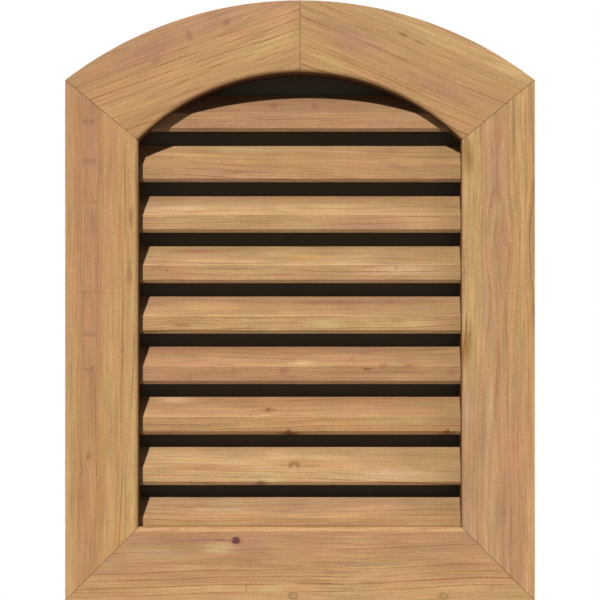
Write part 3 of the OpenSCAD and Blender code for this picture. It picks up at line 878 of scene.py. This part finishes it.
# the case: rough-sawn cedar, darker than the planed boards. Its shape is the frame's own
caseBoards = {
    # along its face inside the opening each case board gets painted shade
    "left_jamb": {"grain": 90, "seed": 51, "toneAxis": (0, 1, 200 * mm), "heart": (30, 40),
                  "borders": borders(inside=[((-openHalf, 0, 0), (1, 0, 0))])},
    "right_jamb": {"grain": 90, "seed": 53, "toneAxis": (0, 1, 200 * mm), "heart": (-40, 50),
                   "borders": borders(inside=[((openHalf, 0, 0), (1, 0, 0))])},
    "sill": {"grain": 0, "seed": 57, "toneAxis": (1, 0, 400 * mm), "heart": (-60, 30),
             "borders": borders(inside=[((0, 0, sillZ), (0, 0, 1))])},
    "head_left": {"grain": 20, "seed": 59, "toneAxis": (1, 0, 300 * mm), "heart": (20, 50),
                  "borders": borders([crownJoint, leftHighMitre], [innerArc])},
    "head_right": {"grain": -20, "seed": 61, "toneAxis": (1, 0, 300 * mm), "heart": (-35, 60),
                   "borders": borders([crownJoint, highMitre], [innerArc])},
}


def buildCase():
    for node, cut in caseBoards.items():
        low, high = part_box(node)
        look = {
            "centre": tuple((low + high) / 2), "lines": 0.9, "contrast": 1.2, "sawn": True, "wander": 22,
            "tones": [(0.1, "#b88c5f"), (0.4, "#a97c52"), (0.6, "#b5885d"), (0.9, "#a87b54")],
            **cut,
        }
        giveMaterial(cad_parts[node], cedar("cedar " + node.replace("_", " "), look))
    print("case ready")


buildCase()

# insect screen: woven bronze-coloured glass thread, cut with shears and stapled to the case's back
screenCloth = {
    "thick": 0.4 * mm,
    "cell": 8 * mm,         # size of the sheet's own faces, fine enough for its puckers
    "pucker": 1.3 * mm,     # how far it bellies where nothing holds it
    "puckerSize": 90 * mm,
    "trim": 0.3 * mm,       # the shears took this much more than the outline
    "drag": 9,              # mm, how far the threads were dragged out of true when it was stretched
    "thread": "#594e36",
    "threadDusty": "#665b41",
    "pore": "#39301f",
    "filled": "#54442d",    # what the eye gets of thread and dust together, on the weather side
    "crownShade": "#423520",     # and painted shade under the crown
    "crownShadeFrom": 35 * mm,   # above the arch's spring
    "pitch": 4.8,           # mm, three times the real one, so that the weave still shows from a step away
}


def buildScreen():
    back = screenLow.y
    size = screenHigh - screenLow
    cloth = startFrom(bpy.ops.mesh.primitive_grid_add, "insectScreen", size=1,
                      x_subdivisions=round(size.x / screenCloth["cell"]),
                      y_subdivisions=round(size.z / screenCloth["cell"]),
                      location=(0, back, (screenLow.z + screenHigh.z) / 2), rotation=(math.radians(90), 0, 0),
                      scale=(size.x, size.z, 1))
    applyModifier(cloth, "SOLIDIFY", thickness=screenCloth["thick"], offset=0)
    lap = screenHigh.x - openHalf - screenCloth["trim"]
    cutWith(cloth, archedBlock("outline", lap, back - 5 * mm, back + 5 * mm), "INTERSECT")
    clouds = bpy.data.textures.new("pucker", "CLOUDS")
    clouds.noise_scale = screenCloth["puckerSize"]
    applyModifier(cloth, "DISPLACE", texture=clouds, texture_coords="LOCAL", direction="Y", mid_level=0.0,
                  strength=screenCloth["pucker"])
    cloth.data.transform(Matrix.Translation((0, screenCloth["thick"] / 2, 0)))
    bpy.ops.object.shade_smooth_by_angle(angle=math.radians(35))
    # the side that faces the weather, where dust has filled the weave
    weather = cloth.data.attributes.new("weather", "FLOAT", "FACE")
    for face in cloth.data.polygons:
        weather.data[face.index].value = 1.0 if face.normal.y < 0 else 0.0

    weave, add = newMaterial("bronze insect screen")
    spot = add("TexCoord").outputs["Object"]
    place = add("VectorMath", [spot, inMm], operation="MULTIPLY")
    stretch = add("TexNoise", {"Vector": place, "Scale": 0.009, "Detail": 1.0})
    pull = screenCloth["drag"]
    dragged = add("VectorMath", [stretch.outputs["Color"], (pull, 0, pull), place], operation="MULTIPLY_ADD")
    axes = add("SeparateXYZ", [dragged])
    # each thread is a rounded ridge that passes over and under the others in turn
    waves, ridges = [], []
    for axis in ("X", "Z"):
        angle = add("Math", [axes.outputs[axis], math.pi / screenCloth["pitch"]], operation="MULTIPLY")
        waves.append(add("Math", [angle], operation="SINE"))
        ridge = add("Math", [waves[-1]], operation="ABSOLUTE")
        ridges.append(add("MapRange", {"Value": ridge, "From Min": 0.45, "From Max": 0.95},
                          interpolation_type="SMOOTHSTEP"))
    threads = add("Math", ridges, operation="MAXIMUM")
    crossing = add("Math", waves, operation="MULTIPLY")
    height = add("Math", [crossing, 0.25, threads], operation="MULTIPLY_ADD")
    dust = add("TexNoise", {"Vector": place, "Scale": 0.012, "Detail": 6.0, "Roughness": 0.7})
    worn = add("MapRange", {"Value": dust.outputs[0], "From Min": 0.35, "From Max": 0.75})
    thread = add("Mix", {"Factor": worn, "A": linear(screenCloth["thread"]),
                         "B": linear(screenCloth["threadDusty"])}, data_type="RGBA")
    colour = add("Mix", {"Factor": threads, "A": linear(screenCloth["pore"]), "B": thread}, data_type="RGBA")
    filled = add("Attribute", attribute_name="weather").outputs["Fac"]
    # toward the crown the weather side darkens into painted shade
    high = add("MapRange", {"Value": add("SeparateXYZ", [spot]).outputs["Z"], "From Min": springZ,
                            "From Max": springZ + screenCloth["crownShadeFrom"]})
    dusty = add("Mix", {"Factor": high, "A": linear(screenCloth["filled"]),
                        "B": linear(screenCloth["crownShade"])}, data_type="RGBA")
    colour = add("Mix", {"Factor": filled, "A": colour, "B": dusty}, data_type="RGBA")
    relief = add("MapRange", {"Value": filled, "To Min": 1.0, "To Max": 0.05})
    bump = add("Bump", {"Height": height, "Strength": relief, "Distance": 0.6 * mm})
    glass = add("BsdfPrincipled", {"Base Color": colour, "Roughness": 0.55, "Normal": bump,
                                   "Specular IOR Level": 0.3})
    add("OutputMaterial", {"Surface": glass})
    finish(cloth, "insect_screen", weave)
    print("screen ready")


buildScreen()

# staples round the screen and over the trim's mitres, and brads through the jambs
fixings = {
    "seed": 11,
    "crown": (10.5 * mm, 1.3 * mm, 0.9 * mm),      # staple: length, width, height above what it holds
    "leg": 1.5 * mm,         # as much of a staple's legs as is drawn, all of it in the wood
    "spacing": 58 * mm,
    "inset": 6.5 * mm,       # of the staples, from the opening's edge
    "archShare": 0.93,       # of the arch, up to its outermost ones
    "skew": 14,              # degrees, how far a hurried hand turns one
    "stray": (1.5, 4),       # mm to the side and up or down
    "mitreCrown": (22 * mm, 1.6 * mm, 1.2 * mm),
    "mitrePlaces": (30 * mm, 82 * mm),             # along each mitre from the opening's corner
    "mitreSkew": 8,
    "crownPlaces": (0.38, 0.78),                   # of the crown joint's height
    "crownSkew": 3,
    "brad": (1.6 * mm, 0.35 * mm, 2 * mm),         # head's radius, how proud it stands, length drawn
    "bradRound": 0.3 * mm,
    "bradOffset": 5.04 * mm,  # back and up from the middle of a louver's end, and as far the other way
    "bradStray": 1,          # mm
    "zinc": "#9b9a94",
    "dull": "#6e6a62",
    "rust": "#7c4a2a",
}


def fixingMetal():
    # galvanised wire: grey, dulled in patches, with rust starting here and there
    metal, add = newMaterial("galvanised wire")
    place = add("VectorMath", [add("TexCoord").outputs["Object"], inMm], operation="MULTIPLY")
    cloudy = add("TexNoise", {"Vector": place, "Scale": 0.8, "Detail": 3.0})
    dull = add("MapRange", {"Value": cloudy.outputs[0], "From Min": 0.4, "From Max": 0.6})
    spots = add("TexNoise", {"Vector": place, "Scale": 0.35, "Detail": 4.0, "Roughness": 0.7})
    rust = add("MapRange", {"Value": spots.outputs[0], "From Min": 0.56, "From Max": 0.64})
    colour = add("Mix", {"Factor": dull, "A": linear(fixings["zinc"]), "B": linear(fixings["dull"])},
                 data_type="RGBA")
    colour = add("Mix", {"Factor": rust, "A": colour, "B": linear(fixings["rust"])}, data_type="RGBA")
    shine = add("Math", [rust, -0.9, 0.95], operation="MULTIPLY_ADD")
    gloss = add("MapRange", {"Value": dull, "To Min": 0.32, "To Max": 0.6})
    bump = add("Bump", {"Height": cloudy.outputs[0], "Strength": 0.3, "Distance": 0.2 * mm})
    steel = add("BsdfPrincipled", {"Base Color": colour, "Metallic": shine, "Roughness": gloss,
                                   "Normal": bump})
    add("OutputMaterial", {"Surface": steel})
    return metal


def makeStaple(name, crown):
    # a flat bar along X on the plane y = 0, whose ends bend down into the wood over round shoulders
    length, width, height = crown
    staple = startBlock(name, (-length / 2, -fixings["leg"], -width / 2), (length / 2, height, width / 2))
    bpy.ops.object.mode_set(mode="EDIT")
    selectEdges(lambda c: meets(c.y, height))
    bpy.ops.mesh.bevel(offset=0.35 * height, segments=2, affect="EDGES")
    bpy.ops.object.mode_set(mode="OBJECT")
    bpy.ops.object.shade_smooth_by_angle(angle=math.radians(35))
    return staple


def placeCopies(model, name, places):
    # one copy of the model at each place (point, turn), joined into one piece
    copies = []
    for point, turn in places:
        copies.append(copyOf(model, name))
        copies[-1].data.transform(Matrix.Translation(point) @ turn)
    pick(*copies)
    bpy.ops.object.join()
    bpy.data.objects.remove(model)
    return copies[0]


def buildFixings():
    chance = random.Random(fixings["seed"])
    metal = fixingMetal()
    clothY = screenLow.y + screenCloth["thick"]
    reach, step = openHalf + fixings["inset"], fixings["spacing"]

    # round the screen: up both jambs, along the sill, and over the arch
    spots = []
    side = springZ - sillZ
    count = round(side / step)
    for k in range(count + 1):
        z = sillZ + (k + 0.1) * side / (count + 0.4)
        spots += [((reach, z), 90), ((-reach, z), 90)]
    count = round(2 * openHalf / step)
    for k in range(count):
        spots.append((((k + 0.5) * 2 * openHalf / count - openHalf, sillZ - fixings["inset"]), 0))
    radius = innerRadius + fixings["inset"]
    swing = math.asin(openHalf / radius) * fixings["archShare"]
    count = round(2 * swing * radius / step)
    for k in range(count + 1):
        angle = swing * (2 * k / count - 1)
        spots.append(((radius * math.sin(angle), innerCentreZ + radius * math.cos(angle)),
                      -math.degrees(angle)))
    places = []
    skew, (aside, up) = fixings["skew"], fixings["stray"]
    for (x, z), angle in spots:
        turn = math.radians(angle + chance.uniform(-skew, skew))
        point = Vector((x + chance.uniform(-aside, aside) * mm, clothY, z + chance.uniform(-up, up) * mm))
        places.append((point, Matrix.Rotation(-turn, 4, "Y")))
    staples = placeCopies(makeStaple("staple", fixings["crown"]), "screenStaples", places)

    # two wide ones over each joint of the trim, on its back
    places = []
    skew = fixings["mitreSkew"]
    for (corner, normal), side in ((lowMitre, 1), (leftLowMitre, -1), (highMitre, 1), (leftHighMitre, -1)):
        across = Vector(normal).normalized()
        along = Vector((-across.z, 0, across.x))
        if along.x * side < 0:
            along.negate()
        for share in fixings["mitrePlaces"]:
            angle = math.atan2(across.z, across.x) + math.radians(chance.uniform(-skew, skew))
            point = Vector((corner[0], backY, corner[2])) + along * share
            places.append((point, Matrix.Rotation(-angle, 4, "Y")))
    for share in fixings["crownPlaces"]:
        height = crownZ + share * (archHigh.z - crownZ)
        turn = math.radians(fixings["crownSkew"])
        places.append((Vector((0, backY, height)), Matrix.Rotation(turn, 4, "Y")))
    mitreStaples = placeCopies(makeStaple("wide", fixings["mitreCrown"]), "mitreStaples", places)

    # two brads through the jamb into each louver end, but for the top one, which the arch cuts short
    radius, proud, length = fixings["brad"]
    brad = startFrom(bpy.ops.mesh.primitive_cylinder_add, "brad", vertices=12, radius=radius, depth=length,
                     location=(proud - length / 2, 0, 0), rotation=(0, math.radians(90), 0))
    bpy.ops.object.mode_set(mode="EDIT")
    selectEdges(lambda c: meets(c.x, proud))
    bpy.ops.mesh.bevel(offset=fixings["bradRound"], segments=2, affect="EDGES")
    bpy.ops.object.mode_set(mode="OBJECT")
    bpy.ops.object.shade_smooth_by_angle(angle=math.radians(40))
    places = []
    stray = fixings["bradStray"]
    for k in range(2, len(louverBoards) + 1):
        low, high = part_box("louver_%d" % k)
        middle = Vector((0, (low.y + high.y) / 2, (low.z + high.z) / 2))
        for side in (1, -1):
            for way in (1, -1):
                drift = Vector((0, chance.uniform(-stray, stray), chance.uniform(-stray, stray))) * mm
                offset = Vector((0, 1, 1)) * way * fixings["bradOffset"]
                point = middle + offset + drift + Vector((side * jambHigh.x, 0, 0))
                places.append((point, Matrix.Rotation(0 if side > 0 else math.pi, 4, "Z")))
    brads = placeCopies(brad, "louverBrads", places)

    for piece in (staples, mitreStaples, brads):
        giveMaterial(piece, metal)
        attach(piece, "root")
    print("fixings ready")


buildFixings()
